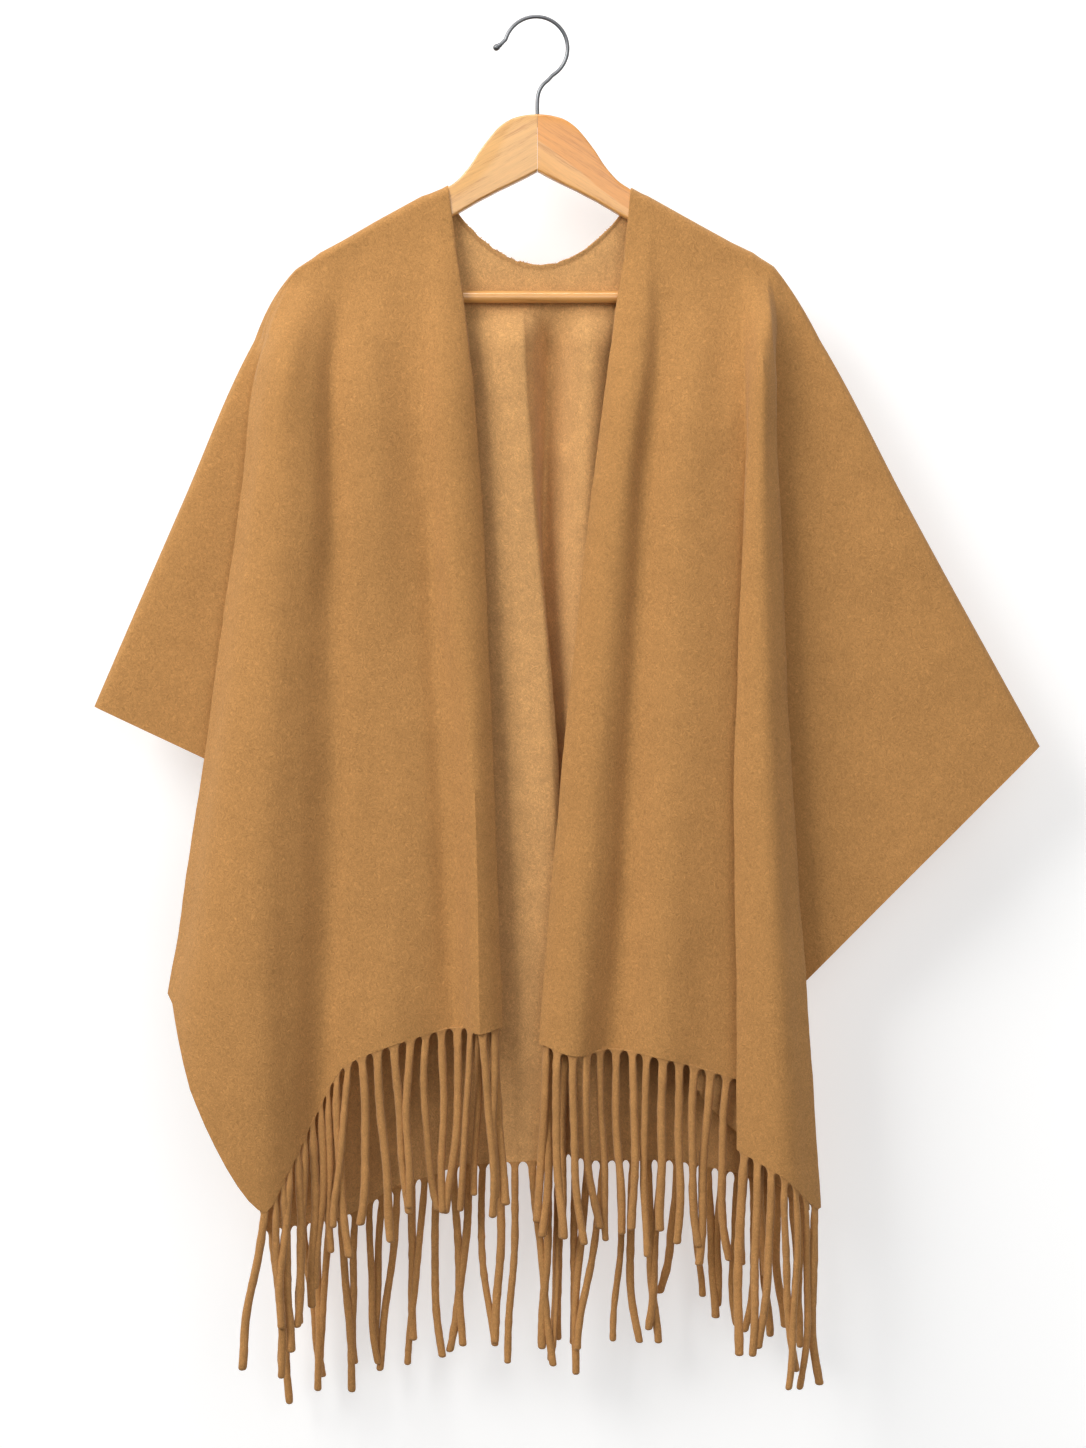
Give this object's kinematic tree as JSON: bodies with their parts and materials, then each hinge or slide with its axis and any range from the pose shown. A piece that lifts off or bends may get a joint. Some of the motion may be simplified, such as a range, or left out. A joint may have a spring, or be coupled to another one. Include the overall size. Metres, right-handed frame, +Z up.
{
  "type": "poncho on a wooden hanger",
  "caption": "A fringed camel wool poncho, open down the front, hangs in soft folds on a two-tone wooden hanger with a chrome hook.",
  "frame": {"origin": "The inner top of the hook's bend, where the rail that holds the hanger lies. The hook, the arms and the bar lie in the plane through it across Y.", "axes": "+Z up. +Y is out of the back of the poncho, so the open front and its fringe face -Y. +X is to the right of someone who looks at the front."},
  "size_m": [0.8793, 0.1154, 1.3054],
  "materials": {
    "wool": "brushed woven wool, matt, with a short curly nap",
    "pale_wood": "clear satin varnish over pale honey wood",
    "amber_wood": "clear satin varnish over darker amber wood",
    "chrome": "bright plated steel wire"
  },
  "bodies": {
    "root": {"front_left": "wool", "front_right": "wool", "back": "wool", "fringe_front_left": "wool", "fringe_front_right": "wool", "fringe_band": "wool", "fringe_back": "wool", "hanger_arm_left": "pale_wood", "hanger_arm_right": "amber_wood", "hanger_bar": "pale_wood", "hanger_hook": "chrome"}
  },
  "joints": []
}
